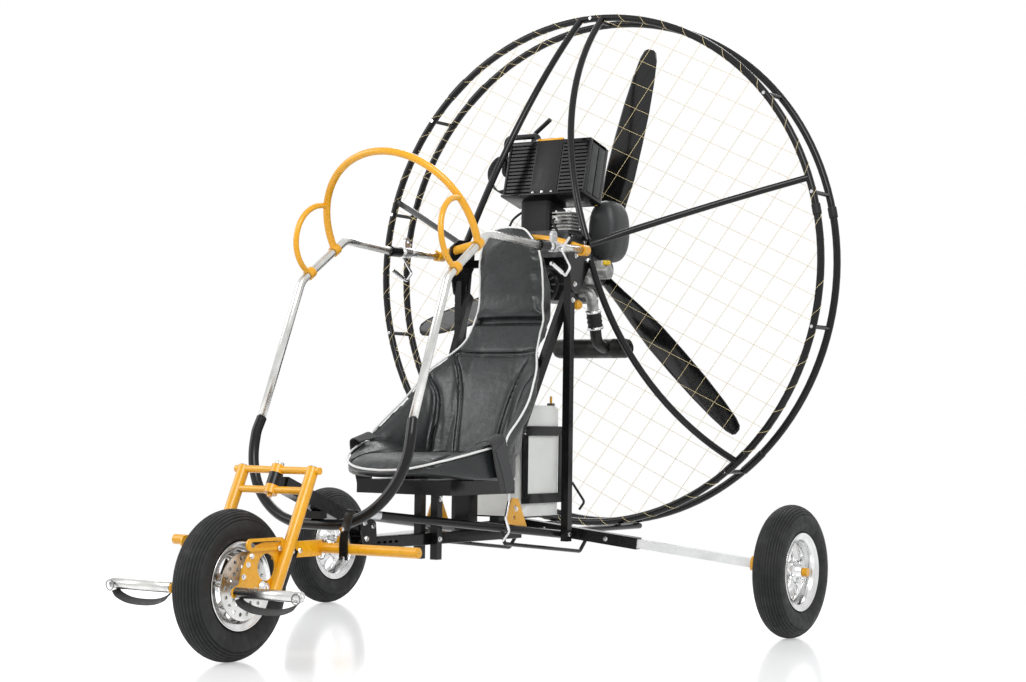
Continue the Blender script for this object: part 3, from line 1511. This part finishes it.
@dataclass
class CageDress(Dresser):
    """The cage's net, the lashings that tie it to the ring, the joint sleeves and wraps."""

    centre: Vector = field(default_factory=lambda: station(0.0, 0.270, 1.157))
    rear: Vector = field(default_factory=lambda: station(0.0, 0.394, 1.157))
    radius: float = 0.852
    tube_radius: float = 0.012
    pitch: float = 0.0757
    cord_radius: float = 0.00072
    layer_gap: float = 0.0016
    families: tuple[float, float] = (53.0, -25.0)
    stays: tuple[int, ...] = (90, 140, 165, 194, 232, 308, -14, 15, 40)

    def net(self) -> bpy.types.Object:
        """Stretch two skewed families of cords across the front ring."""
        points, edges = [], []
        for lean in self.families:
            along, across = ray(lean), ray(lean + 90.0)
            layer = Y_AXIS * (-self.tube_radius * 0.5 + (self.layer_gap if lean > 0 else 0.0))
            count = int(self.radius / self.pitch)
            for k in range(-count, count + 1):
                offset = (k + 0.35) * self.pitch
                if abs(offset) > self.radius * 0.985:
                    continue
                half = math.sqrt(self.radius ** 2 - offset ** 2)
                middle = self.centre + layer + across * offset
                points += [middle - along * half, middle + along * half]
                edges.append((len(points) - 2, len(points) - 1))
        mesh = bpy.data.meshes.new("net_lines")
        mesh.from_pydata([tuple(p) for p in points], edges, [])
        return self.shop.cords.grow("cage_net", new_object("net_lines", mesh), Cord_Radius=self.cord_radius,
                                    Finish=self.shop.paints["cream_cord"])

    def lashing(self, ring: Vector, start: float, end: float, coils: float, name: str) -> bpy.types.Object:
        """Wind a cord round a stretch of a ring's tube, from one angle to another in degrees."""
        steps = coils * 14
        reach = self.tube_radius + self.cord_radius * 0.8
        path = []
        for i in range(steps + 1):
            t = i / steps
            wind = 2 * math.pi * coils * t
            outward = ray(start + (end - start) * t) * (self.radius + reach * math.cos(wind))
            path.append(ring + outward + Y_AXIS * reach * math.sin(wind))
        return self.piped(name, path, self.cord_radius, "cream_cord", 6)

    def sleeve(self, ring: Vector, start: float, end: float, radius: float, finish: str,
               name: str) -> bpy.types.Object:
        """Slip a sleeve over a stretch of a ring."""
        steps = 18
        path = [ring + ray(start + (end - start) * i / steps) * self.radius for i in range(steps + 1)]
        radii = [radius if 0 < i < steps else radius - 0.0015 for i in range(steps + 1)]
        return self.piped(name, path, radii, finish, 20)

    def build(self) -> None:
        """Dress both rings."""
        lashings = [self.lashing(self.centre, 4, 356, 62, "front_lashing"),
                    self.lashing(self.rear, 96, 250, 26, "rear_lashing")]
        self.assemble("cage_netting", [self.net(), *lashings], Body.FRAME, "webbing")
        sleeves = [self.sleeve(self.centre, -52, -45.5, 0.0135, "black_powder", "ring_joint_low"),
                   self.sleeve(self.centre, 127, 133, 0.0135, "black_powder", "ring_joint_high"),
                   self.sleeve(self.rear, -52, -45.5, 0.0135, "black_powder", "rear_joint_low"),
                   self.sleeve(self.rear, 127, 133, 0.0135, "black_powder", "rear_joint_high"),
                   self.sleeve(self.centre, 10, 12.4, 0.0145, "rubber_hose", "front_wrap"),
                   self.sleeve(self.rear, 10, 12.4, 0.0145, "rubber_hose", "rear_wrap")]
        for piece in sleeves:
            self.shop.hand_over(piece, Body.FRAME, "black_coat")
        places = [(ring + ray(angle) * self.radius + Y_AXIS * face * self.tube_radius, Y_AXIS * face)
                  for ring, face in ((self.centre, -1), (self.rear, 1)) for angle in self.stays]
        self.shop.hand_over(self.bolt_set("ring_bolts", places, 0.0042, 0.0034), Body.FRAME, "chrome")


@dataclass
class BrightTubes(Dresser):
    """The stainless handrails on both sides and the two hollow foot pegs."""

    radius: float = 0.0125
    bend: float = 0.060
    rail: tuple[Point, ...] = ((0.268, -1.094, 0.640), (0.263, -0.932, 1.042), (0.259, -0.730, 1.180),
                               (0.276, -0.479, 1.168))
    arm_end: Point = (0.273, -0.217, 1.172)
    collar: float = 0.0486
    socket: float = 0.0172
    peg_radius: float = 0.014
    peg_wall: float = 0.003
    peg_start: float = 0.1105
    peg_reach: float = 0.323
    peg_place: tuple[float, float] = (-1.626, 0.194)

    def build(self) -> None:
        """Bend the rails and turn the pegs."""
        rails, arms, pegs = [], [], []
        outer, inner = self.peg_radius, self.peg_radius - self.peg_wall
        profile = [(self.peg_start, inner), (self.peg_start, outer), (self.peg_reach - 0.001, outer),
                   (self.peg_reach, outer - 0.001), (self.peg_reach, inner)]
        for side in SIDES:
            *rail, arm_end = stations((side * x, y, z) for x, y, z in (*self.rail, self.arm_end))
            rails.append(self.piped("rail", bent_line(rail, self.bend), self.radius, "stainless_tube", 36))
            run = (arm_end - rail[-1]).normalized()
            start, stop = rail[-1] + run * self.collar, arm_end - run * self.socket
            arms.append(self.piped("arm", [start, (start + stop) / 2, stop], self.radius, "stainless_tube",
                                   36))
            pegs.append(self.turned("peg", profile, station(0.0, *self.peg_place), X_AXIS * side,
                                    "stainless_tube", 48))
        self.assemble("hand_rails", rails, Body.FRAME, "stainless", "front_tubes")
        self.assemble("rear_arms", arms, Body.FRAME, "stainless", "side_arms")
        self.assemble("hollow_pegs", pegs, Body.FORK, "stainless", "foot_pegs")


@dataclass
class EngineDress(Dresser):
    """The engine's open look: silencer drum, exhaust, radiator trim, covers, belt drive and plumbing."""

    drum_middle: tuple = (0.132, 1.270)
    drum_half: tuple = (0.056, 0.102)
    drum_ends: tuple = (0.119, 0.240)
    radiator_foot: Vector = field(default_factory=lambda: station(0.0, -0.025, 1.378))
    radiator_tilt: float = 14.0
    radiator_size: tuple = (0.310, 0.188, 0.130)
    muffler_radius: float = 0.0325
    muffler_seam: float = 0.0006
    knob_radius: float = 0.016
    block_low: Vector = field(default_factory=lambda: station(-0.075, 0.010, 1.035))
    block_high: Vector = field(default_factory=lambda: station(0.075, 0.210, 1.265))

    def radiator_axes(self) -> tuple[Vector, Vector]:
        """Give the directions up the radiator's face and out of it."""
        tilt = math.radians(self.radiator_tilt)
        return Vector((0.0, math.sin(tilt), math.cos(tilt))), Vector((0.0, -math.cos(tilt), math.sin(tilt)))

    def on_radiator(self, x: float, up: float, out: float) -> Vector:
        """Give a point by its place on the radiator's face and how far it stands out."""
        rise, normal = self.radiator_axes()
        return self.radiator_foot + X_AXIS * x + rise * up + normal * out

    def radiator_box(self, name: str, low: Point, high: Point, radius: float,
                     finish: str) -> bpy.types.Object:
        """Make a rounded block in the radiator's own directions (across, up, out)."""
        piece = rounded_block(name, Vector(low), Vector(high), radius, self.shop.paints[finish], 3)
        for vertex in piece.data.vertices:
            vertex.co = self.on_radiator(*vertex.co)
        piece.data.update()
        tidy_mesh(piece)
        return piece

    def drum(self) -> bpy.types.Object:
        """Loft the intake silencer as a full rounded drum."""
        rings = []
        start, end = self.drum_ends
        for i in range(17):
            t = i / 16
            swell = (1 - abs(2 * t - 1) ** 3.2) ** (1 / 2.4)
            grow = 0.55 + 0.45 * swell
            ring = []
            for k in range(40):
                angle = 2 * math.pi * k / 40
                c, s = math.cos(angle), math.sin(angle)
                x = math.copysign(abs(c) ** 0.8, c) * self.drum_half[0] * grow
                z = math.copysign(abs(s) ** 0.85, s) * self.drum_half[1] * grow
                ring.append(station(self.drum_middle[0] + x, start + (end - start) * t,
                                    self.drum_middle[1] + z))
            rings.append(ring)
        return loft("intake_drum", rings, self.shop.paints["grey_moulding"])

    def exhaust(self) -> bpy.types.Object:
        """Make the pipe, its rubber boot and the round-ended silencer."""
        radius, seam = self.muffler_radius, self.muffler_radius + self.muffler_seam
        profile = [(-0.0895, 0.004), (-0.088, 0.020), (-0.080, 0.029), (-0.068, radius), (-0.030, radius),
                   (-0.029, seam), (-0.026, seam), (-0.025, radius), (0.140, radius), (0.141, seam),
                   (0.144, seam), (0.145, radius), (0.184, radius), (0.197, 0.029), (0.204, 0.020),
                   (0.2055, 0.004)]
        can = self.turned("muffler_can", profile, station(0.0, 0.205, 0.885), X_AXIS, "exhaust_black", 56)
        pipe_line = smooth_line(stations((
            (0.0757, 0.085, 1.066), (0.105, 0.085, 1.064), (0.121, 0.088, 1.045), (0.1225, 0.100, 1.000),
            (0.122, 0.114, 0.945), (0.122, 0.128, 0.905), (0.122, 0.165, 0.888), (0.122, 0.190, 0.885))))
        half = len(pipe_line) // 2
        pipe = self.piped("exhaust_pipe", pipe_line[:half + 1], 0.0185, "pale_casting", 24)
        lower = self.piped("exhaust_elbow", pipe_line[half:], 0.0190, "exhaust_black", 24)
        boot_line = [station(0.1225, 0.099 + 0.017 * i / 16, 1.005 - 0.06 * i / 16) for i in range(17)]
        ribs = [0.0235 + (0.0018 if i % 4 in (1, 2) else 0.0) for i in range(17)]
        boot = self.piped("exhaust_boot", boot_line, ribs, "rubber_hose", 24)
        step = Vector((0, -0.001, 0.004))
        clamps = [self.piped(f"boot_clamp_{i}", [boot_line[i] - step, boot_line[i] + step], 0.0262,
                             "bright_chrome", 24) for i in (1, 15)]
        return join_pieces("exhaust_system", [can, pipe, lower, boot, *clamps])

    def grab_strap(self) -> bpy.types.Object:
        """Bend the webbing handle on the radiator's right side."""
        spots = ((-0.158, 0.035, -0.030), (-0.190, 0.028, -0.020), (-0.222, 0.060, -0.014),
                 (-0.231, 0.100, -0.012), (-0.214, 0.138, -0.016), (-0.186, 0.150, -0.022),
                 (-0.158, 0.142, -0.030))
        path = smooth_line([self.on_radiator(*spot) for spot in spots])
        return self.laid("grab_strap", path, self.radiator_axes()[1], 0.026, 0.004)

    def radiator_trim(self) -> list[bpy.types.Object]:
        """Make the centre panel, end tanks, flanges, top bracket and cap."""
        width, height, depth = self.radiator_size
        half = width / 2
        boxes = (
            ("radiator_panel", (-0.049, 0.001, -0.004), (0.049, height - 0.001, 0.004), 0.003,
             "black_moulding"),
            ("radiator_flange", (-half - 0.004, -0.003, -depth + 0.02), (half + 0.004, 0.006, 0.012),
             0.0025, "black_powder"),
            ("radiator_header", (-half, height - 0.012, -depth + 0.03), (half, height + 0.004, 0.002),
             0.004, "black_powder"),
            ("end_panel_front", (half - 0.002, 0.010, -0.045), (half + 0.0035, height - 0.014, -0.012),
             0.0015, "grey_moulding"),
            ("end_panel_rear", (half - 0.002, 0.010, -0.088), (half + 0.0035, height - 0.014, -0.055),
             0.0015, "grey_moulding"),
            ("edge_rail_left", (half - 0.006, 0.0, -0.010), (half + 0.002, height, 0.004), 0.002,
             "black_powder"),
            ("edge_rail_right", (-half - 0.002, 0.0, -0.010), (-half + 0.006, height, 0.004), 0.002,
             "black_powder"),
            ("top_bracket", (-0.052, height + 0.002, -0.040), (0.046, height + 0.010, 0.002), 0.002,
             "orange_powder"),
        )
        pieces = [self.radiator_box(*box) for box in boxes]
        neck = self.on_radiator(-0.002, height + 0.008, -0.020)
        cap = [(0.0, 0.001), (0.0, 0.011), (0.003, 0.012), (0.009, 0.012), (0.011, 0.010), (0.012, 0.001)]
        pieces.append(self.turned("radiator_cap", cap, neck, self.radiator_axes()[0], "bright_chrome", 32))
        tie = [(-0.005, 0.001), (-0.004, 0.007), (0.004, 0.007), (0.005, 0.001)]
        for k, (x, up) in enumerate(((half - 0.018, 0.180), (half - 0.022, 0.006))):
            spot = self.on_radiator(x, up, -depth + 0.01)
            pieces.append(self.turned(f"net_tie_{k}", tie, spot, X_AXIS, "yellow_cap", 16))
        return pieces

    def hose_clamps(self) -> list[bpy.types.Object]:
        """Put a band clamp at each hose end."""
        clamps = []
        width, height, _ = self.radiator_size
        rise = self.radiator_axes()[0]
        for k, (x, up, out, aim, radius) in enumerate((
                (-width / 2 - 0.012, 0.095, -0.045, X_AXIS, 0.0102),
                (-0.070, height + 0.012, -0.030, rise, 0.0102),
                (-0.118, height + 0.012, -0.070, rise, 0.0087))):
            middle, step = self.on_radiator(x, up, out), aim * 0.005
            clamps.append(self.piped(f"hose_clamp_{k}", [middle - step, middle + step], radius,
                                     "bright_chrome", 24))
        return clamps

    def block_dress(self) -> list[bpy.types.Object]:
        """Rib the crankcase, and add the starter cover, its vents, the plug and the belt drive."""
        casting = self.shop.paints["engine_casting"]
        low, high = self.block_low, self.block_high
        pieces = []
        for side, x in ((-1, low.x), (1, high.x)):
            rib = rounded_block("rib_seed", Vector((x - 0.005, low.y + 0.006, low.z + 0.010)),
                                Vector((x + 0.005, high.y - 0.006, low.z + 0.0145)), 0.0015, casting, 2)
            pieces.append(self.shop.row.grow(f"side_ribs_{side}", rib, Count=19,
                                             Pitch=(0.0, 0.0, 0.0115), Finish=casting))
        cover = [(0.0, 0.001), (0.0, 0.050), (-0.006, 0.056), (-0.020, 0.056), (-0.026, 0.052),
                 (-0.028, 0.040), (-0.028, 0.014), (-0.034, 0.012), (-0.034, 0.001)]
        hub = station(0.0, 0.010, 1.085)
        pieces.append(self.turned("starter_cover", cover, hub, Y_AXIS, "black_moulding", 56))
        for k in range(12):
            outward = ray(30 * k)
            vent = [hub + outward * 0.033 - Y_AXIS * 0.0285, hub + outward * 0.047 - Y_AXIS * 0.0265]
            pieces.append(self.piped(f"starter_vent_{k}", vent, 0.003, "dark_steel", 8))
        for k, (radius, height) in enumerate(((0.066, 1.157), (0.030, 1.235))):
            track, edge = radius - 0.004, radius - 0.006
            pulley = [(0.004, 0.001), (0.004, edge), (0.006, radius), (0.010, radius), (0.012, track),
                      (0.034, track), (0.036, radius), (0.040, radius), (0.042, edge), (0.042, 0.001)]
            middle = station(0.0, 0.210, height)
            pieces.append(self.turned(f"pulley_{k}", pulley, middle, Y_AXIS, "dark_steel", 64))
        belt = []
        for i in range(49):
            angle = 2 * math.pi * i / 48
            up = math.sin(angle)
            centre_z, radius = (1.157, 0.064) if up < 0.35 else (1.235, 0.028)
            belt.append(station(radius * math.cos(angle), 0.2325, centre_z + radius * up))
        pieces.append(self.laid("drive_belt", belt, Y_AXIS, 0.021, 0.004, "rubber_hose"))
        plug = station(0.043, -0.004, 1.295)
        tip = plug - Vector((0, 0.016, -0.004))
        pieces.append(self.piped("spark_plug", [plug + Y_AXIS * 0.020, plug, tip], [0.005, 0.006, 0.009],
                                 "white_piping", 16))
        lead = smooth_line([tip, *stations(((0.052, -0.045, 1.285), (0.086, -0.050, 1.235),
                                            (0.100, -0.020, 1.190), (0.079, 0.030, 1.165)))])
        pieces.append(self.piped("plug_lead", lead, 0.0038, "rubber_hose", 10))
        return pieces

    def small_parts(self) -> list[bpy.types.Object]:
        """Add the yellow cap, the orange pull knob and the short leads beside the block."""
        cap_foot = station(0.190, 0.060, 1.1475)
        cap_profile = [(0.0, 0.001), (0.0, 0.014), (0.004, 0.0165), (0.013, 0.0165), (0.016, 0.014),
                       (0.0165, 0.001)]
        cap = self.turned("filler_cap", cap_profile, cap_foot, Z_AXIS, "yellow_cap", 32)
        knob, radius = station(0.183, -0.100, 1.011), self.knob_radius
        half_round = [(-radius * math.cos(a), max(radius * math.sin(a), 0.0005))
                      for a in (math.pi * i / 12 for i in range(13))]
        ball = self.turned("pull_knob", half_round, knob, Z_AXIS, "orange_powder", 24)
        cord = smooth_line([knob + Z_AXIS * 0.014, *stations((
            (0.180, -0.095, 1.050), (0.150, -0.060, 1.080), (0.060, -0.020, 1.085)))])
        rope = self.piped("pull_cord", cord, 0.0018, "black_webbing", 8)
        wires = (
            ((-0.06, 0.008, 1.23), (-0.1, -0.03, 1.2), (-0.11, -0.02, 1.12), (-0.07, 0.006, 1.06)),
            ((0.07, 0.006, 1.18), (0.105, -0.025, 1.15), (0.112, -0.01, 1.08), (0.076, 0.02, 1.05)),
            ((-0.119, 0.05, 1.34), (-0.15, 0.02, 1.3), (-0.15, 0.01, 1.24), (-0.08, 0.03, 1.18)))
        loops = [self.piped(f"wiring_{k}", smooth_line(stations(spots)), 0.004, "rubber_hose", 8)
                 for k, spots in enumerate(wires)]
        return [cap, ball, rope, *loops]

    def build(self) -> None:
        """Dress the engine."""
        self.shop.hand_over(self.drum(), Body.FRAME, "black_plastic", "intake_silencer")
        self.shop.hand_over(self.exhaust(), Body.FRAME, "engine_metal", "exhaust")
        self.shop.hand_over(self.grab_strap(), Body.FRAME, "webbing")
        self.assemble("radiator_trim", self.radiator_trim(), Body.FRAME, "black_plastic")
        self.assemble("hose_clamps", self.hose_clamps(), Body.FRAME, "chrome")
        self.assemble("engine_details", self.block_dress(), Body.FRAME, "engine_metal")
        self.assemble("engine_small_parts", self.small_parts(), Body.FRAME, "black_plastic")
        places = []
        for x in (0.018, 0.068):
            for y in (0.030, 0.094):
                places.append((station(x, y, 1.326), Z_AXIS))
        for z in (1.050, 1.150, 1.250):
            for y in (0.030, 0.190):
                for side in SIDES:
                    places.append((station(side * 0.0795, y, z), X_AXIS * side))
        for x in (-0.035, 0.0, 0.035):
            places.append((self.on_radiator(x, 0.006, 0.008), Z_AXIS))
        self.shop.hand_over(self.bolt_set("engine_bolts", places, 0.005, 0.0045), Body.FRAME, "chrome")


@dataclass
class ForkDress(Dresser):
    """The fork's bolts, ring pins, peg ends and straps."""

    axle_y: float = -1.523
    axle_z: float = 0.200
    peg_y: float = -1.626
    peg_z: float = 0.194
    plate_x: float = 0.1065
    leg_x: float = 0.120
    ring_radius: float = 0.0135
    rake_angle: float = 25.2

    def straps(self) -> bpy.types.Object:
        """Hang a webbing bow under each peg."""
        bows = []
        for side in SIDES:
            path = smooth_line([station(side * x, self.peg_y, z) for x, z in (
                (0.310, 0.1782), (0.298, 0.166), (0.262, 0.154), (0.214, 0.1505), (0.166, 0.154),
                (0.130, 0.166), (0.118, 0.1782))])
            bows.append(self.laid(f"strap_{side}", path, Vector((0, 0.8, 0.6)), 0.024, 0.0025))
        return join_pieces("peg_strap_bows", bows)

    def pins(self) -> list[bpy.types.Object]:
        """Put a split ring through each peg's end, and a domed cap on it."""
        cap = [(0.0, 0.001), (0.0, 0.0135), (0.002, 0.0142), (0.004, 0.0135), (0.005, 0.001)]
        radius = self.ring_radius
        pieces = []
        for side in SIDES:
            middle = station(side * 0.3165, self.peg_y - 0.0160, self.peg_z - 0.004)
            loop = [middle + Vector((side * radius * math.cos(a), -0.001 * math.sin(2 * a),
                                     radius * math.sin(a)))
                    for a in (2 * math.pi * i / 32 for i in range(33))]
            pieces.append(self.piped(f"split_ring_{side}", loop, 0.0013, "dark_steel", 8))
            end = station(side * 0.318, self.peg_y, self.peg_z)
            pieces.append(self.turned(f"peg_end_{side}", cap, end, X_AXIS * side, "bright_chrome", 28))
        return pieces

    def axle_nuts(self) -> bpy.types.Object:
        """Cap the axle with a domed nut on each side."""
        profile = [(0.0, 0.001), (0.0, 0.019), (0.004, 0.019), (0.0045, 0.0155), (0.010, 0.0145),
                   (0.013, 0.009), (0.0135, 0.001)]
        nuts = [self.turned(f"nut_{side}", profile, station(side * 0.110, self.axle_y, self.axle_z),
                            X_AXIS * side, "bright_chrome", 32) for side in SIDES]
        return join_pieces("axle_nuts", nuts)

    def build(self) -> None:
        """Dress the fork."""
        self.shop.hand_over(self.straps(), Body.FORK, "webbing", "peg_straps")
        self.assemble("peg_pins", self.pins(), Body.FORK, "chrome")
        self.shop.hand_over(self.axle_nuts(), Body.FORK, "chrome")
        places = []
        outer = self.plate_x + 0.003
        for side in SIDES:
            for y, z, lift in ((-1.468, 0.300, 0.009), (-1.410, 0.288, 0.003), (-1.600, 0.232, 0.0),
                               (-1.552, 0.196, 0.0), (-1.470, 0.190, 0.0), (-1.583, 0.262, 0.0),
                               (-1.569, 0.283, 0.0)):
                places.append((station(side * (outer + lift), y, z), X_AXIS * side))
            places.append((station(side * (self.leg_x + 0.0172), -1.408, 0.292), X_AXIS * side))
        for z in (0.345, 0.268):
            places.append((station(0.191, -1.2955 - (0.006 if z > 0.3 else 0.0), z), -Y_AXIS))
        self.shop.hand_over(self.bolt_set("fork_bolts", places, 0.0055, 0.0045), Body.FORK, "chrome")
        top = station(0.0, -1.3405, 0.5)
        rake = Vector((0.0, 0.42578, 0.90483))
        nut = [(0.0, 0.001), (0.0, 0.0125), (0.010, 0.0125), (0.013, 0.008), (0.014, 0.001)]
        head = self.turned("steering_nut", nut, top + rake * 0.0105, rake, "bright_chrome", 6)
        self.shop.hand_over(head, Body.FORK, "chrome")
        cap = [(0.0, 0.001), (0.0, 0.0150), (0.0015, 0.0145), (0.002, 0.001)]
        lean = math.tan(math.radians(self.rake_angle))
        caps = []
        for side in SIDES:
            for height, aim in ((0.506, rake), (0.180, -rake)):
                y = self.axle_y + 0.041 + (height - self.axle_z) * lean
                spot = station(side * self.leg_x, y, height) + aim * 0.0002
                caps.append(self.turned("leg_cap", cap, spot, aim, "black_moulding", 28))
        self.assemble("leg_caps", caps, Body.FORK, "black_plastic")


@dataclass
class ChassisDress(Dresser):
    """Bolts on the frame, the lap belts, the tank's fittings and the tube plugs."""

    wheel_x: float = 0.885
    leg_bow: float = 0.131
    leg_drop: float = 0.107
    leg_bolts: tuple[float, float] = (0.09, 0.30)
    side_bolts: tuple[Point, ...] = (
        (0.0256, -0.975, 0.3), (0.0256, -0.985, 0.345), (0.0256, -0.945, 0.335), (0.043, -0.64, 0.286),
        (0.043, -0.64, 0.405), (0.2264, -0.19, 1.07), (0.2264, -0.185, 1.16), (0.2264, -0.13, 1.205),
        (0.2264, -0.11, 1.15), (0.2202, -0.1905, 0.29), (0.2202, -0.1905, 1.02), (0.1306, -0.312, 0.605),
        (0.1306, -0.092, 0.605), (0.1476, -0.388, 0.372))

    def belts(self) -> bpy.types.Object:
        """Fold a webbing belt over each side of the pan, with a second end of the webbing on it."""
        web = ((0.205, -0.668, 0.578), (0.236, -0.664, 0.589), (0.2565, -0.658, 0.582),
               (0.2605, -0.652, 0.560), (0.2606, -0.640, 0.520), (0.2606, -0.624, 0.480),
               (0.2606, -0.610, 0.440))
        tip = ((0.2625, -0.655, 0.566), (0.2625, -0.630, 0.520), (0.2625, -0.606, 0.470),
               (0.2625, -0.596, 0.432))
        across = Vector((0.0, 0.93, 0.25))
        pieces = []
        for side in SIDES:
            for name, spots, width, thickness in (("belt", web, 0.074, 0.0032),
                                                  ("belt_tip", tip, 0.050, 0.0028)):
                path = smooth_line(stations((side * x, y, z) for x, y, z in spots))
                pieces.append(self.laid(f"{name}_{side}", path, across, width, thickness))
        return join_pieces("lap_belt_webs", pieces)

    def tank_fittings(self) -> list[bpy.types.Object]:
        """Add the filler cap, and the fuel tap with its stem and bar."""
        profile = [(0.0, 0.001), (0.0, 0.029), (0.003, 0.031), (0.012, 0.031), (0.015, 0.028),
                   (0.0155, 0.001)]
        cap = self.turned("tank_cap", profile, station(0.0, -0.150, 0.7065), Z_AXIS, "black_moulding", 40)
        tap = station(0.100, -0.118, 0.690)
        stem = self.piped("tap_stem", [tap, tap + Z_AXIS * 0.030], 0.004, "orange_powder", 12)
        ends = [tap + Vector((-0.012, 0, 0.004)), tap + Vector((0.012, 0, 0.004))]
        return [cap, stem, self.piped("tap_bar", ends, 0.0045, "dark_steel", 12)]

    def plugs(self) -> list[bpy.types.Object]:
        """Plug the foot bar's open ends."""
        profile = [(0.0, 0.001), (0.0, 0.0132), (0.0015, 0.0126), (0.002, 0.001)]
        return [self.turned("bar_plug", profile, station(side * 0.4252, -1.275, 0.292), X_AXIS * side,
                            "orange_powder", 28) for side in SIDES]

    def build(self) -> None:
        """Dress the chassis."""
        self.shop.hand_over(self.belts(), Body.FRAME, "webbing", "lap_belts")
        self.assemble("tank_fittings", self.tank_fittings(), Body.FRAME, "black_plastic")
        self.assemble("foot_bar_plugs", self.plugs(), Body.FORK, "orange_coat")
        places = []
        for side in SIDES:
            places += [(station(side * x, y, z), X_AXIS * side) for x, y, z in self.side_bolts]
        for x in self.leg_bolts:
            for side in SIDES:
                share = x / self.wheel_x
                y, z = self.leg_bow * (share - 1.0) - 0.0205, 0.313 - self.leg_drop * share
                places.append((station(side * x, y, z), -Y_AXIS))
        self.shop.hand_over(self.bolt_set("frame_bolts", places, 0.006, 0.005), Body.FRAME, "chrome")


def main() -> None:
    """Load the frame and dress it piece by piece."""
    logging.basicConfig(level=logging.INFO, format="%(message)s")
    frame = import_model()
    paints = {recipe.name: recipe.build() for recipe in RECIPES}
    Studio().build()
    dress_frame(frame, paints)
    shop = Workshop(paints)
    for dresser in (RibbedTyres, FiveSpokeRims, BucketSeat, Propeller, CageDress, BrightTubes, EngineDress,
                    ForkDress, ChassisDress):
        dresser(shop).build()


if __name__ == "__main__":
    main()
